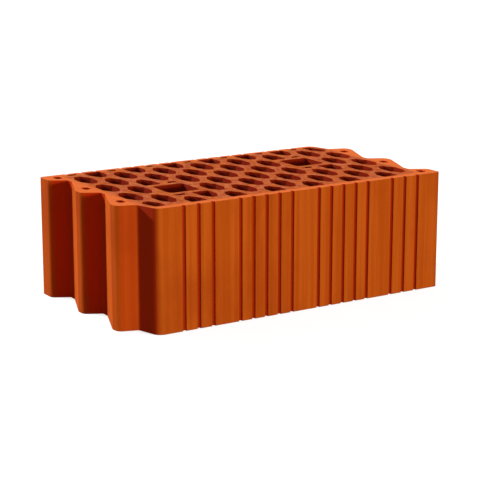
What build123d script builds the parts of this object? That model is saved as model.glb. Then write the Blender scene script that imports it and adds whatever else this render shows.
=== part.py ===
"""Perforated fired clay block with tongue and groove ends, in millimetres.

X runs along the block's length, Y across its width and Z up its height, which is also the
way the clay left the die. The block stands on Z = 0, centred on X and Y. Turned half a turn
about Z its outline falls on itself, so each end locks into the next block of a course.
"""
import os

from build123d import *

# The whole block
LENGTH = 460.0
WIDTH = 250.0
HEIGHT = 155.0

# Tongues and grooves of the end faces. Offsets run along Y from each tooth's own origin.
TEETH = 3
TOOTH_PITCH = 91.0
TONGUE_DEPTH = 22.0
TIP_OFFSET = 13.5
TIP_FLAT = 13.0
TIP_RADIUS = 9.0
ROOT_OFFSET = -10.5
ROOT_FLAT = 11.0
ROOT_RADIUS = 4.0
OUTER_CORNER_RADIUS = 5.0

# The recess between the last tongue and the corner, which takes the corner tongue of the
# next block. Its wall slants from its inner edge to the block's corner.
CORNER_SETBACK = 34.0
INNER_CORNER_RADIUS = 12.0
RECESS_SETBACK = 25.0
RECESS_OFFSET = -1.0

# Plaster grooves down the long faces, straight-sided with a round bottom. Their pattern is
# even about a line on the front face.
GROOVE_PATTERN_X = 16.0
GROOVE_WIDTH = 4.8
GROOVE_DEPTH = 3.4
WIDE_GROUP_CENTRE = 58.0
WIDE_GROUP_PITCH = 19.0
WIDE_GROUP_COUNT = 5
NARROW_GROUP_CENTRE = 155.4
NARROW_GROUP_PITCH = 20.5
NARROW_GROUP_COUNT = 3

# Lattice of long blunt-ended holes, alternate columns half a row apart
COLUMNS = 14
COLUMN_PITCH = 28.9
ROWS = 5
ROW_PITCH = 60.4
CELL_WIDTH = 23.0
CELL_LENGTH = 50.0
CELL_SIDE = 20.0
CELL_TIP = 8.0
CELL_RADIUS = 2.5

# A cell cut down to less than the first area is left out, and one cut down to less than the
# second keeps its sharp corners
LEAST_CELL_AREA = 50.0
LEAST_ROUNDED_AREA = 150.0
MATCH = 0.01

# Solid clay kept round the lattice. The back wall is thinner, so the tips of every other
# column's holes still show there.
FRONT_WALL = 13.0
BACK_WALL = 7.5
END_WALL = 8.0
CORNER_WALL = 9.0

# Two hand holes, each in the place of the cells between two columns
GRIP_WIDTH = 44.0
GRIP_LENGTH = 47.0
GRIP_RADIUS = 6.0
GRIP_WEB = 9.0
GRIP_COLUMN_STEPS = 4

# One small hole inside each tongue
TONGUE_HOLE_WIDTH = 10.0
TONGUE_HOLE_LENGTH = 15.0
TONGUE_HOLE_INSET = 18.0
TONGUE_HOLE_OFFSET = 27.0
CORNER_HOLE_OFFSET = 16.0

TIP_X = -LENGTH / 2
ROOT_X = TIP_X + TONGUE_DEPTH
CORNER_X = TIP_X + CORNER_SETBACK


def turned(points):
    """The points' images half a turn round the block."""
    return [(-x, -y) for x, y in points]


def tooth_origins():
    """Y of each tooth of the -X end, from the back of the block to the front."""
    return [TOOTH_PITCH * (1 - index) for index in range(TEETH)]


def recess_edge():
    """The inner edge of the recess beside the last tongue of the -X end."""
    return TIP_X + RECESS_SETBACK, tooth_origins()[-1] + RECESS_OFFSET


def end_profile():
    """Corners of the -X end from back to front, each with the radius it is rounded to."""
    corners = [((TIP_X, WIDTH / 2), OUTER_CORNER_RADIUS)]
    for index, origin in enumerate(tooth_origins()):
        tip = origin + TIP_OFFSET
        root = origin + ROOT_OFFSET
        if index > 0:
            corners.append(((TIP_X, tip + TIP_FLAT / 2), TIP_RADIUS))
        corners.append(((TIP_X, tip - TIP_FLAT / 2), TIP_RADIUS))
        if index < TEETH - 1:
            corners.append(((ROOT_X, root + ROOT_FLAT / 2), ROOT_RADIUS))
            corners.append(((ROOT_X, root - ROOT_FLAT / 2), ROOT_RADIUS))
    corners.append((recess_edge(), ROOT_RADIUS))
    corners.append(((CORNER_X, -WIDTH / 2), INNER_CORNER_RADIUS))
    return corners


def outer_plan():
    """The block's outline from above, before the plaster grooves."""
    half = end_profile()
    points = [point for point, _ in half]
    points += turned(points)
    radii = [radius for _, radius in half] * 2
    plan = make_face(Polyline(*points, close=True))
    for radius in sorted(set(radii)):
        targets = [Vector(*point) for point, each in zip(points, radii) if each == radius]
        chosen = [min(plan.vertices(), key=lambda vertex: (Vector(*vertex) - target).length)
                  for target in targets]
        plan = fillet(chosen, radius)
    return plan


def plaster_grooves():
    """Notches down both long faces."""
    groups = [
        (WIDE_GROUP_CENTRE, WIDE_GROUP_PITCH, WIDE_GROUP_COUNT),
        (NARROW_GROUP_CENTRE, NARROW_GROUP_PITCH, NARROW_GROUP_COUNT),
    ]
    points = []
    for centre, pitch, count in groups:
        for side in (-1, 1):
            for step in range(count):
                along = side * centre + (step - (count - 1) / 2) * pitch
                points.append((GROOVE_PATTERN_X + along, -WIDTH / 2))
    notch = Rot(0, 0, 90) * SlotOverall(2 * GROOVE_DEPTH, GROOVE_WIDTH)
    return [Pos(x, y) * notch for x, y in points + turned(points)]


def cell():
    """One long hole of the lattice, widest in the middle and blunt at both ends."""
    half = [
        (CELL_WIDTH / 2, -CELL_SIDE / 2),
        (CELL_WIDTH / 2, CELL_SIDE / 2),
        (CELL_TIP / 2, CELL_LENGTH / 2),
        (-CELL_TIP / 2, CELL_LENGTH / 2),
    ]
    return make_face(Polyline(*half, *turned(half), close=True))


def corner_wall():
    """The strip beside the set-back corner of the -X end that the lattice keeps clear of."""
    inner = Vector(*recess_edge())
    outer = Vector(CORNER_X, -WIDTH / 2)
    run = outer - inner
    inward = Vector(-run.Y, run.X).normalized() * CORNER_WALL
    ends = [outer - inward, outer + inward, inner + inward, inner - inward]
    return make_face(Polyline(*ends, close=True))


def core_plan():
    """The area the lattice may fill: the block less its walls and its two inner corners."""
    side = -ROOT_X - END_WALL
    front = FRONT_WALL - WIDTH / 2
    back = WIDTH / 2 - BACK_WALL
    area = Pos(0, (front + back) / 2) * Rectangle(2 * side, back - front)
    return area - corner_wall() - Rot(0, 0, 180) * corner_wall()


def grip_centres():
    """Centres of the two hand holes."""
    centre = [(-GRIP_COLUMN_STEPS * COLUMN_PITCH, -ROW_PITCH / 2)]
    return centre + turned(centre)


def is_side_corner(vertex, x, y):
    """Whether a corner is one of the four wide-angled ones in the sides of a cell at x, y."""
    at_side = abs(abs(vertex.X - x) - CELL_WIDTH / 2) < MATCH
    return at_side and abs(abs(vertex.Y - y) - CELL_SIDE / 2) < MATCH


def lattice():
    """Every hole of the lattice, cut short at the walls and round the hand holes."""
    area = core_plan()
    for x, y in grip_centres():
        keep = Rectangle(GRIP_WIDTH + 2 * GRIP_WEB, GRIP_LENGTH + 2 * GRIP_WEB)
        area -= Pos(x, y) * keep
    holes = []
    for column in range(COLUMNS):
        x = (column - (COLUMNS - 1) / 2) * COLUMN_PITCH
        shift = ROW_PITCH / 4 if column % 2 == 0 else -ROW_PITCH / 4
        for row in range(ROWS):
            y = shift + (row - (ROWS - 1) / 2) * ROW_PITCH
            for hole in (Pos(x, y) * cell() & area).faces():
                if hole.area < LEAST_CELL_AREA:
                    continue
                tight = [each for each in hole.vertices() if not is_side_corner(each, x, y)]
                rounded = hole.area > LEAST_ROUNDED_AREA
                holes.append(fillet(tight, CELL_RADIUS) if rounded else hole)
    return holes


def grips():
    """The two hand holes."""
    hole = RectangleRounded(GRIP_WIDTH, GRIP_LENGTH, GRIP_RADIUS)
    return [Pos(x, y) * hole for x, y in grip_centres()]


def tongue_holes():
    """The small hole inside each tongue of both ends."""
    points = []
    for index, origin in enumerate(tooth_origins()):
        offset = CORNER_HOLE_OFFSET if index == 0 else TONGUE_HOLE_OFFSET
        points.append((TIP_X + TONGUE_HOLE_INSET, origin + offset))
    hole = Rot(0, 0, 90) * SlotOverall(TONGUE_HOLE_LENGTH, TONGUE_HOLE_WIDTH)
    return [Pos(x, y) * hole for x, y in points + turned(points)]


def block():
    """The fired block as one solid."""
    plan = outer_plan()
    for cutter in plaster_grooves() + lattice() + grips() + tongue_holes():
        plan -= cutter
    return extrude(plan, HEIGHT)


os.makedirs("parts", exist_ok=True)
body = block()
body.label = "clay_block"
export_step(body, "parts/clay_block.step")
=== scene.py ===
"""A perforated fired clay block: the finish of its clay, its studio light and its camera.

The block itself comes from the frame. This script dresses that solid in fired clay with
slightly worn edges and sets it on a pale floor, seen as in the photograph.
"""

import logging
import math
from dataclasses import dataclass
from enum import Enum
from functools import cached_property, reduce
from typing import Dict, List, Optional, Sequence, Tuple, Union

import bpy
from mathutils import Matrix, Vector

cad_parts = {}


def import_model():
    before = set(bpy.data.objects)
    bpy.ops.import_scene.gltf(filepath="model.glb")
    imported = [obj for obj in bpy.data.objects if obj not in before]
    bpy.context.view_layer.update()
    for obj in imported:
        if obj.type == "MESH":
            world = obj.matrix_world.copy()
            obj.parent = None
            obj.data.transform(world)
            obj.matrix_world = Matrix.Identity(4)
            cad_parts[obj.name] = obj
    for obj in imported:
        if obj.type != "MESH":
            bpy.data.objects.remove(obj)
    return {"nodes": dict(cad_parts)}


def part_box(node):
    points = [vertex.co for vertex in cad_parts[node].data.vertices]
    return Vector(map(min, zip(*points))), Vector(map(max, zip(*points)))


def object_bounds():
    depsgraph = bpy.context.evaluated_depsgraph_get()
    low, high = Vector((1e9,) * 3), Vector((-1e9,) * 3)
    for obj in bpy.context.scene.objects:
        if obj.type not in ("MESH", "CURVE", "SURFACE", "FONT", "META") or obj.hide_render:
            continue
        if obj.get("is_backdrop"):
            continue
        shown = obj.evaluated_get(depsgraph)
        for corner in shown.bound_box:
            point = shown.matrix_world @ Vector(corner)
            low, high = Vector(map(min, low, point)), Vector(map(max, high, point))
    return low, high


log = logging.getLogger("clay_block")

Colour = Tuple[float, float, float]
Point = Tuple[float, float, float]
Span = Tuple[float, float]
Inputs = Dict[Union[str, int], object]

BLOCK = "clay_block"
WHITE = (1.0, 1.0, 1.0)

# The Mix node's colour sockets by number, because their names come more than once
MIX_SHARE = 0
MIX_FIRST = 6
MIX_SECOND = 7
MIX_RESULT = 2


class Texture(Enum):
    """The textures that an unevenness is made with."""

    CLOUD = "ShaderNodeTexNoise"
    CELLS = "ShaderNodeTexVoronoi"


@dataclass(frozen=True)
class Unevenness:
    """One unevenness over a surface, such as its grain or its streaks.

    Its features are counted per metre along each axis, its detail is the number of finer layers
    and its roughness says how strong they are.
    """

    features: Point
    detail: float = 3.0
    roughness: float = 0.6
    texture: Texture = Texture.CLOUD


def in_order(*given: object) -> Inputs:
    """What a node's sockets take, from its first socket on."""
    return dict(enumerate(given))


class Val:
    """One socket's number, with the arithmetic of numbers."""

    def __init__(self, graph: "Graph", socket: bpy.types.NodeSocket) -> None:
        """Keeps the socket and the graph that it belongs to."""
        self.graph = graph
        self.socket = socket

    def _do(self, operation: str, *terms: "Term") -> "Val":
        """Adds a Math node, with its operation and its inputs in order."""
        return self.graph.node("ShaderNodeMath", {"operation": operation}, in_order(*terms))

    def __add__(self, other: "Term") -> "Val":
        """The sum."""
        return self._do("ADD", self, other)

    __radd__ = __add__

    def __sub__(self, other: "Term") -> "Val":
        """The difference."""
        return self._do("SUBTRACT", self, other)

    def __rsub__(self, other: "Term") -> "Val":
        """The difference, the other way round."""
        return self._do("SUBTRACT", other, self)

    def __mul__(self, other: "Term") -> "Val":
        """The product."""
        return self._do("MULTIPLY", self, other)

    __rmul__ = __mul__

    def larger(self, other: "Term") -> "Val":
        """The larger of the two."""
        return self._do("MAXIMUM", self, other)

    def size(self) -> "Val":
        """The number without its sign."""
        return self._do("ABSOLUTE", self)

    def ramp(self, low: float, high: float) -> "Val":
        """A smooth step.

        Args:
            low: where it leaves 0.
            high: where it reaches 1. It may be lower than low, for a falling step.

        Returns:
            The step's value, from 0 to 1.
        """
        step = self.graph.node(
            "ShaderNodeMapRange",
            {"interpolation_type": "SMOOTHSTEP"},
            {"Value": self, "From Min": min(low, high), "From Max": max(low, high)},
        )
        return 1 - step if high < low else step


Term = Union[Val, float]
Tone = Union[Val, Colour]


class Graph:
    """The node tree of one material, or of the sky."""

    def __init__(self, owner: Union[bpy.types.Material, bpy.types.World]) -> None:
        """Empties the owner's node tree.

        Args:
            owner: the material or world that the tree belongs to.
        """
        owner.use_nodes = True
        self.tree = owner.node_tree
        self.tree.nodes.clear()

    @cached_property
    def place(self) -> Val:
        """The surface's place, in metres."""
        return self.node("ShaderNodeNewGeometry", {}, {}, "Position")

    @cached_property
    def facing(self) -> Val:
        """The way that the surface faces, before any relief."""
        return self.node("ShaderNodeNewGeometry", {}, {}, "True Normal")

    def node(
        self,
        kind: str,
        settings: Dict[str, object],
        inputs: Inputs,
        output: Union[str, int] = 0,
    ) -> Val:
        """Adds one node.

        Args:
            kind: the node's type.
            settings: its settings, set before the sockets.
            inputs: a value or a link for each socket, by name or number.
            output: the output that is wanted, by name or number.

        Returns:
            That output.
        """
        made = self.tree.nodes.new(kind)
        for key, setting in settings.items():
            setattr(made, key, setting)
        for key, given in inputs.items():
            self.feed(made.inputs[key], given)
        return Val(self, made.outputs[output])

    def feed(self, socket: bpy.types.NodeSocket, given: object) -> None:
        """Links a result to a socket, or sets the socket's own value.

        Args:
            socket: the input socket.
            given: a result, a number, a vector or a colour.
        """
        if isinstance(given, Val):
            self.tree.links.new(given.socket, socket)
        elif socket.type == "RGBA":
            socket.default_value = (*given, 1.0)
        else:
            socket.default_value = given

    def axis(self, name: str, vector: Optional[Val] = None) -> Val:
        """One coordinate, X, Y or Z, of a vector or else of the surface's place."""
        return self.node("ShaderNodeSeparateXYZ", {}, {"Vector": vector or self.place}, name)

    def noise(self, look: Unevenness) -> Val:
        """Unevenness that stays put on the block.

        Args:
            look: the unevenness that is wanted.

        Returns:
            Its value, about 0 to 1.
        """
        spread = self.node(
            "ShaderNodeVectorMath",
            {"operation": "MULTIPLY"},
            in_order(self.place, look.features),
        )
        inputs = {"Vector": spread, "Scale": 1.0}
        if look.texture is Texture.CELLS:
            return self.node(look.texture.value, {}, inputs, "Distance")
        inputs.update({"Detail": look.detail, "Roughness": look.roughness})
        return self.node(look.texture.value, {}, inputs, "Fac")

    def mix(self, share: Term, first: Tone, second: Tone) -> Val:
        """The colour between two colours.

        Args:
            share: 0 for the first and 1 for the second.
            first: a colour or a result.
            second: a colour or a result.

        Returns:
            The colour.
        """
        return self.node(
            "ShaderNodeMix",
            {"data_type": "RGBA"},
            {MIX_SHARE: share, MIX_FIRST: first, MIX_SECOND: second},
            MIX_RESULT,
        )

    def either(self, share: Val, first: Val, second: Val) -> Val:
        """The first shader where the share is 0, and the second where it is 1."""
        return self.node("ShaderNodeMixShader", {}, in_order(share, first, second))

    def rays(self, *kinds: str) -> Val:
        """Whether the ray that meets the surface is of one of some kinds.

        Args:
            kinds: the Light Path node's names for them.

        Returns:
            1 for any of those kinds, and 0 for the rest.
        """
        found = [self.node("ShaderNodeLightPath", {}, {}, kind) for kind in kinds]
        return reduce(Val.larger, found)

    def output(self, kind: str, surface: Val) -> None:
        """Ends the tree.

        Args:
            kind: the output node's type.
            surface: the shader that it shows.
        """
        end = self.tree.nodes.new(kind)
        self.feed(end.inputs["Surface"], surface)


@dataclass(frozen=True)
class ClayBounds:
    """Where each part of the clay, and the shade and highlight painted on it, begins, and where it is
    full.
    """

    # Metres in from the two long faces, for the painted shade and the rim's painted highlight. The rim
    # is full up to the first and gone at the second.
    behind_faces: Span = (0.0015, 0.0065)
    groove_mouth: Span = (0.0, 0.0005)
    past_grooves: Span = (0.005, 0.006)
    rim_across: Span = (0.006, 0.018)

    # Metres in from the tips of the tongues, where the painted shade begins and is full, with the rim's
    # painted highlight as above
    shaded_flanks: Span = (-0.003, 0.008)
    recess_shade: Span = (0.0235, 0.0265)
    shaded_holes: Span = (0.0345, 0.0365)
    grooved_length: Span = (0.024, 0.0264)
    rim_along: Span = (0.0216, 0.036)

    # How squarely a face looks up or down
    cut: Span = (0.6, 0.9)

    # The product of the X and Y of the way that a face looks, which tells the tongues' gentle
    # sides from the rest
    off_gentle_sides: Span = (-0.30, -0.15)

    # Nearness to the set-back corners
    by_recess: Span = (0.60, 0.66)
    clear_of_corners: Span = (0.77, 0.75)

    # How much of the flanks' painted shade is lost by the recess
    flank_shade_loss: float = 0.6


class ClayMaps:
    """Where each part of the clay lies on the block, and where shade and a highlight are painted on it,
    as values from 0 to 1.
    """

    def __init__(self, graph: Graph, bounds: ClayBounds) -> None:
        """Measures the block.

        Args:
            graph: the material that the values are for.
            bounds: where each part begins and is full.
        """
        self.graph = graph
        self.bounds = bounds
        self.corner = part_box(BLOCK)[1]

    def inward(self, name: str, span: Span) -> Val:
        """How far a point is in from the block's two outer faces across an axis.

        Args:
            name: the axis, X or Y.
            span: the depth where the value leaves 0, and the depth where it reaches 1.

        Returns:
            The value, from 0 to 1.
        """
        near, far = span
        outside = getattr(self.corner, name.lower())
        return self.graph.axis(name).size().ramp(outside - near, outside - far)

    @cached_property
    def cut(self) -> Val:
        """The faces that the wire cut: the top and the bottom, but none of the drawn ones."""
        return self.graph.axis("Z", self.graph.facing).size().ramp(*self.bounds.cut)

    @cached_property
    def behind_faces(self) -> Val:
        """The clay behind the two long faces."""
        return self.inward("Y", self.bounds.behind_faces)

    @cached_property
    def cornerward(self) -> Val:
        """How near a point is to the two set-back corners, with 1 where they would be."""
        return self.graph.axis("X") * self.graph.axis("Y") * (1 / (self.corner.x * self.corner.y))

    def shaded_flanks(self) -> Val:
        """Painted shade on the clay between two tongues, clear of their gentle sides, and less so by the
        recess.

        Returns:
            The value, from 0 to 1.
        """
        depth = self.inward("X", self.bounds.shaded_flanks)
        facing = self.graph.axis("X", self.graph.facing) * self.graph.axis("Y", self.graph.facing)
        steep = facing.ramp(*self.bounds.off_gentle_sides)
        beside = self.cornerward.ramp(*self.bounds.by_recess)
        return depth * steep * self.behind_faces * (1 - self.bounds.flank_shade_loss * beside)

    def recess_shade(self) -> Val:
        """Painted shade on the clay further in than the roots of the tongues."""
        return self.inward("X", self.bounds.recess_shade) * self.behind_faces

    def shaded_holes(self) -> Val:
        """Painted shade on the clay further in than the recess, in a hole."""
        return self.inward("X", self.bounds.shaded_holes) * self.behind_faces

    def shaded_grooves(self) -> Val:
        """Painted shade on the clay in a plaster groove of the long faces, clear of the corners.

        Returns:
            The value, from 0 to 1.
        """
        inside = self.inward("Y", self.bounds.groove_mouth)
        past = self.inward("Y", self.bounds.past_grooves)
        along = self.inward("X", self.bounds.grooved_length)
        return inside * (1 - past) * along * self.cornerward.ramp(*self.bounds.clear_of_corners)

    def rim(self) -> Val:
        """The clay of the cut faces that lies along the block's outline, where a highlight is painted.
        """
        return 1 - self.inward("Y", self.bounds.rim_across) * self.inward("X", self.bounds.rim_along)


@dataclass(frozen=True)
class ClayColours:
    """The colours of the clay, all of one firing, and how they vary over the block, with shade painted
    into its hollows and a highlight painted along its rim.
    """

    body: Colour = (0.49, 0.074, 0.003)
    light: Colour = (0.58, 0.100, 0.006)
    dark: Colour = (0.30, 0.028, 0.001)
    # Painted shade: a darker, redder tone for the steep flanks between the tongues
    flank_shade: Colour = (0.52, 0.026, 0.001)
    # Painted shade: a darker tone for the clay past the tongues' roots
    recess_shade: Colour = (0.31, 0.017, 0.0008)
    # Painted shade: a darker tone for the walls inside the holes
    hole_shade: Colour = (0.24, 0.011, 0.0005)
    # Painted shade: a darker, redder tone inside the plaster grooves
    groove_shade: Colour = (0.42, 0.025, 0.001)
    cut_dark: Colour = (0.31, 0.043, 0.009)
    cut_warm: Colour = (0.53, 0.120, 0.020)
    cut_pale: Colour = (0.53, 0.132, 0.044)
    # Painted highlight: a paler tone along the rim of the cut faces
    rim: Colour = (0.74, 0.150, 0.030)

    # The unevenness that spreads the colours
    streaks: Unevenness = Unevenness((130.0, 130.0, 2.0))
    clouds: Unevenness = Unevenness((9.0, 9.0, 6.0), detail=4.0)
    specks: Unevenness = Unevenness((900.0, 900.0, 900.0), detail=2.0)
    patches: Unevenness = Unevenness((150.0, 110.0, 150.0), detail=4.0)
    blushes: Unevenness = Unevenness((60.0, 60.0, 60.0), detail=2.0)

    # Where along its unevenness each colour begins, and where it is full
    streaked: Span = (0.38, 0.66)
    clouded: Span = (0.58, 0.36)
    specked: Span = (0.60, 0.74)
    patchy: Span = (0.32, 0.66)
    blushing: Span = (0.42, 0.58)

    # How strong these are, and the patches' share of the cut faces' unevenness beside the specks
    cloud_strength: float = 0.35
    speck_strength: float = 0.35
    rim_highlight_strength: float = 0.8
    patch_share: float = 0.7

    def drawn(self, graph: Graph, maps: ClayMaps) -> Val:
        """The drawn faces: streaked and specked, and with shade painted in, darker and redder, where
        they lie deeper.

        Args:
            graph: the material that the colour is for.
            maps: where each part of the clay lies.

        Returns:
            The colour.
        """
        layers = (
            (graph.noise(self.streaks).ramp(*self.streaked), self.light),
            (graph.noise(self.clouds).ramp(*self.clouded) * self.cloud_strength, self.dark),
            (graph.noise(self.specks).ramp(*self.specked) * self.speck_strength, self.dark),
            # Painted shade: darker, redder tones in the flanks, the recess, the holes and the grooves
            (maps.shaded_flanks(), self.flank_shade),
            (maps.recess_shade(), self.recess_shade),
            (maps.shaded_holes(), self.hole_shade),
            (maps.shaded_grooves(), self.groove_shade),
        )
        colour: Tone = self.body
        for share, tone in layers:
            colour = graph.mix(share, colour, tone)
        return colour

    def torn(self, graph: Graph, maps: ClayMaps) -> Val:
        """The cut faces: patchy between the holes, and with a highlight painted paler along the rim.

        Args:
            graph: the material that the colour is for.
            maps: where each part of the clay lies.

        Returns:
            The colour.
        """
        blush = graph.noise(self.blushes).ramp(*self.blushing)
        fresh = graph.mix(blush, self.cut_warm, self.cut_pale)
        speck = (1 - self.patch_share) * graph.noise(self.specks)
        patch = self.patch_share * graph.noise(self.patches) + speck
        webs = graph.mix(patch.ramp(*self.patchy), self.cut_dark, fresh)
        # Painted highlight: paler clay along the rim of the cut faces
        return graph.mix(maps.rim() * self.rim_highlight_strength, webs, self.rim)

    def colour(self, graph: Graph, maps: ClayMaps) -> Val:
        """The colour over the whole block."""
        return graph.mix(maps.cut, self.drawn(graph, maps), self.torn(graph, maps))


@dataclass(frozen=True)
class ClayRelief:
    """The clay's fine relief: drag lines on the drawn faces and torn grain on the cut ones."""

    drags: Unevenness = Unevenness((1400.0, 1400.0, 5.0))
    waves: Unevenness = Unevenness((120.0, 120.0, 3.0), detail=2.0)
    grains: Unevenness = Unevenness((900.0, 900.0, 900.0), detail=4.0)
    scratches: Unevenness = Unevenness((45.0, 1100.0, 45.0))
    pits: Unevenness = Unevenness((260.0, 260.0, 260.0), texture=Texture.CELLS)

    # How far from its middle a pit begins, and where it is full, as a share of the pits' spacing
    pitted: Span = (0.16, 0.05)

    # How high each stands, as a share of the relief
    drag_height: float = 0.25
    wave_height: float = 0.5
    grain_height: float = 0.18
    torn_grain_height: float = 0.7
    scratch_height: float = 0.5
    pit_depth: float = 0.35

    def height(self, graph: Graph, cut: Val) -> Val:
        """The height over the whole block.

        Args:
            graph: the material that the relief is for.
            cut: 1 on the cut faces and 0 on the drawn ones.

        Returns:
            The height.
        """
        grain = graph.noise(self.grains)
        drawn = self.drag_height * graph.noise(self.drags) + self.wave_height * graph.noise(self.waves)
        drawn = drawn + self.grain_height * grain
        torn = self.torn_grain_height * grain + self.scratch_height * graph.noise(self.scratches)
        pit = graph.noise(self.pits).ramp(*self.pitted)
        return drawn * (1 - cut) + torn * cut - self.pit_depth * pit


@dataclass(frozen=True)
class FiredClay:
    """Unglazed clay: matt and orange-red, streaked the way that it left the die, with torn cut faces,
    shade painted into its deeper parts and a highlight painted along the rim of its cut faces.

    The relief's full height and the radius of the worn edges are in metres.
    """

    name: str = "fired_clay"
    bounds: ClayBounds = ClayBounds()
    colours: ClayColours = ClayColours()
    relief: ClayRelief = ClayRelief()
    full_height: float = 0.0006
    bump: float = 0.55
    worn_radius: float = 0.0010
    worn_samples: int = 8
    dullness: Unevenness = Unevenness((900.0, 900.0, 900.0))
    least_dull: float = 0.72
    dull_range: float = 0.16
    sheen: float = 0.04

    def material(self) -> bpy.types.Material:
        """The finished material.

        Returns:
            The material, for the block's slots.
        """
        made = bpy.data.materials.new(self.name)
        graph = Graph(made)
        maps = ClayMaps(graph, self.bounds)
        worn = graph.node(
            "ShaderNodeBevel",
            {"samples": self.worn_samples},
            {"Radius": self.worn_radius},
            "Normal",
        )
        relief = graph.node(
            "ShaderNodeBump",
            {},
            {
                "Height": self.relief.height(graph, maps.cut),
                "Strength": self.bump,
                "Distance": self.full_height,
                "Normal": worn,
            },
            "Normal",
        )
        surface = graph.node(
            "ShaderNodeBsdfPrincipled",
            {},
            {
                "Base Color": self.colours.colour(graph, maps),
                "Roughness": self.least_dull + self.dull_range * graph.noise(self.dullness),
                "Normal": relief,
                "Specular IOR Level": self.sheen,
            },
            "BSDF",
        )
        graph.output("ShaderNodeOutputMaterial", surface)
        return made


@dataclass(frozen=True)
class ClayBlock:
    """The fired block, as the frame has it."""

    finish: FiredClay = FiredClay()

    def dress(self, block: bpy.types.Object) -> None:
        """Puts the fired clay on the solid.

        Args:
            block: the frame's solid.
        """
        clay = self.finish.material()
        for slot in block.material_slots:
            slot.material = clay
        log.info("%s: %d faces dressed", BLOCK, len(block.data.polygons))


def direction(azimuth: float, elevation: float) -> Vector:
    """The way from the block to something seen from it.

    Args:
        azimuth: degrees round from the front of the block, where 90 is its right end.
        elevation: degrees above the floor.

    Returns:
        A vector of length 1.
    """
    turn, rise = math.radians(azimuth), math.radians(elevation)
    return Vector((math.sin(turn) * math.cos(rise), -math.cos(turn) * math.cos(rise), math.sin(rise)))


@dataclass(frozen=True)
class Lamp:
    """One plain lamp that lights the block evenly. Its angles are in degrees, its distance in metres."""

    name: str
    azimuth: float
    elevation: float
    power: float
    breadth: float
    distance: float = 3.0

    def build(self, target: Vector) -> None:
        """Adds the lamp.

        Args:
            target: the point that it is aimed at.
        """
        data = bpy.data.lights.new(self.name, "SUN")
        data.energy = self.power
        data.angle = math.radians(self.breadth)
        lamp = bpy.data.objects.new(self.name, data)
        bpy.context.scene.collection.objects.link(lamp)
        back = direction(self.azimuth, self.elevation)
        lamp.location = target + back * self.distance
        lamp.rotation_mode = "QUATERNION"
        lamp.rotation_quaternion = back.to_track_quat("Z", "Y")


@dataclass(frozen=True)
class Floor:
    """A white floor that runs out of view on every side and keeps the block's shadow.

    Its sizes are in metres.
    """

    half_size: float = 30.0
    drop: float = 0.0004
    pale: Colour = (0.14, 0.14, 0.14)
    seen: Colour = (0.40, 0.40, 0.40)
    lift: float = 0.72
    mottles: Unevenness = Unevenness((3.0, 3.0, 3.0))
    mottle: float = 0.03

    def build(self) -> None:
        """Makes the floor, just clear of the block's underside."""
        reach = self.half_size
        rim = [(-reach, -reach), (reach, -reach), (reach, reach), (-reach, reach)]
        mesh = bpy.data.meshes.new("floor")
        mesh.from_pydata([(x, y, -self.drop) for x, y in rim], [], [(0, 1, 2, 3)])
        mesh.materials.append(self.material())
        floor = bpy.data.objects.new("floor", mesh)
        bpy.context.scene.collection.objects.link(floor)
        floor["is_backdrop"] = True

    def material(self) -> bpy.types.Material:
        """A pale floor for the light, and a white one for the eye.

        Returns:
            The material.
        """
        made = bpy.data.materials.new("floor")
        graph = Graph(made)
        eye = graph.rays("Is Camera Ray", "Is Glossy Ray", "Is Transmission Ray")
        shade = graph.mix(graph.noise(self.mottles) * self.mottle, self.seen, self.pale)
        matt = graph.node("ShaderNodeBsdfDiffuse", {}, {"Color": shade})
        glow = graph.node("ShaderNodeEmission", {}, {"Color": WHITE, "Strength": self.lift})
        white = graph.node("ShaderNodeAddShader", {}, in_order(matt, glow))
        dim = graph.node("ShaderNodeBsdfDiffuse", {}, {"Color": self.pale})
        graph.output("ShaderNodeOutputMaterial", graph.either(eye, dim, white))
        return made


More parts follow.
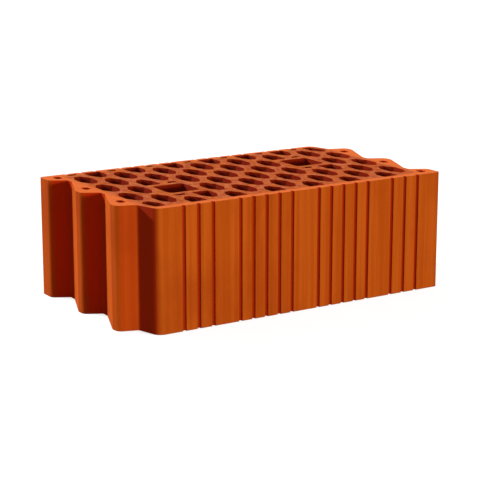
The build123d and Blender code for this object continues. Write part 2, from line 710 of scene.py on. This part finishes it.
@dataclass(frozen=True)
class Studio:
    """The light round the block: a front lamp, one behind its left end, one above it, and sky."""

    lamps: Tuple[Lamp, ...] = (
        Lamp("front_lamp", azimuth=3.0, elevation=4.0, power=2.15, breadth=8.0),
        Lamp("left_lamp", azimuth=-143.0, elevation=21.0, power=3.6, breadth=6.0),
        Lamp("above_lamp", azimuth=20.0, elevation=87.0, power=1.40, breadth=10.0),
    )
    sky: float = 0.27
    floor: Floor = Floor()

    def build(self, middle: Vector) -> None:
        """Adds the lamps, the sky and the floor.

        Args:
            middle: the middle of the block.
        """
        for lamp in self.lamps:
            lamp.build(middle)
        self.build_sky()
        self.floor.build()
        log.info("studio: %d lamps, sky and floor", len(self.lamps))

    def build_sky(self) -> None:
        """Adds an even sky for the light, which is white where the eye meets it."""
        world = bpy.data.worlds.new("sky")
        bpy.context.scene.world = world
        graph = Graph(world)
        eye = graph.rays("Is Camera Ray", "Is Glossy Ray", "Is Transmission Ray")
        light = graph.node("ShaderNodeBackground", {}, {"Color": WHITE, "Strength": self.sky})
        white = graph.node("ShaderNodeBackground", {}, {"Color": WHITE})
        graph.output("ShaderNodeOutputWorld", graph.either(eye, light, white))


@dataclass(frozen=True)
class Viewpoint:
    """Where the photograph was taken from, round the middle of the block's underside.

    Angles are in degrees, the lens and the sensor in millimetres and the rest in metres.
    """

    azimuth: float = -32.34
    elevation: float = 13.50
    distance: float = 2.0877
    aim_up: float = 0.0654
    aim_right: float = -0.0018
    lens: float = 118.19
    sensor: float = 36.0
    near: float = 0.05
    far: float = 100.0

    def build(self) -> None:
        """Adds the camera and makes it the scene's own."""
        back = direction(self.azimuth, self.elevation)
        right = Vector((0, 0, 1)).cross(back).normalized()
        up = back.cross(right)
        data = bpy.data.cameras.new("camera")
        data.lens = self.lens
        data.sensor_width = self.sensor
        data.clip_start = self.near
        data.clip_end = self.far
        camera = bpy.data.objects.new("camera", data)
        bpy.context.scene.collection.objects.link(camera)
        camera.location = back * self.distance + up * self.aim_up + right * self.aim_right
        camera.rotation_mode = "QUATERNION"
        camera.rotation_quaternion = back.to_track_quat("Z", "Y")
        bpy.context.scene.camera = camera
        log.info("camera: %.0f mm lens at %.2f m", self.lens, self.distance)


def main() -> None:
    """Builds the pieces in order."""
    logging.basicConfig(level=logging.INFO, format="%(name)s: %(message)s")
    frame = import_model()
    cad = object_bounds()
    bpy.context.scene.view_settings.view_transform = "Standard"
    Viewpoint().build()
    ClayBlock().dress(frame["nodes"][BLOCK])
    Studio().build((cad[0] + cad[1]) / 2)


if __name__ == "__main__":
    main()
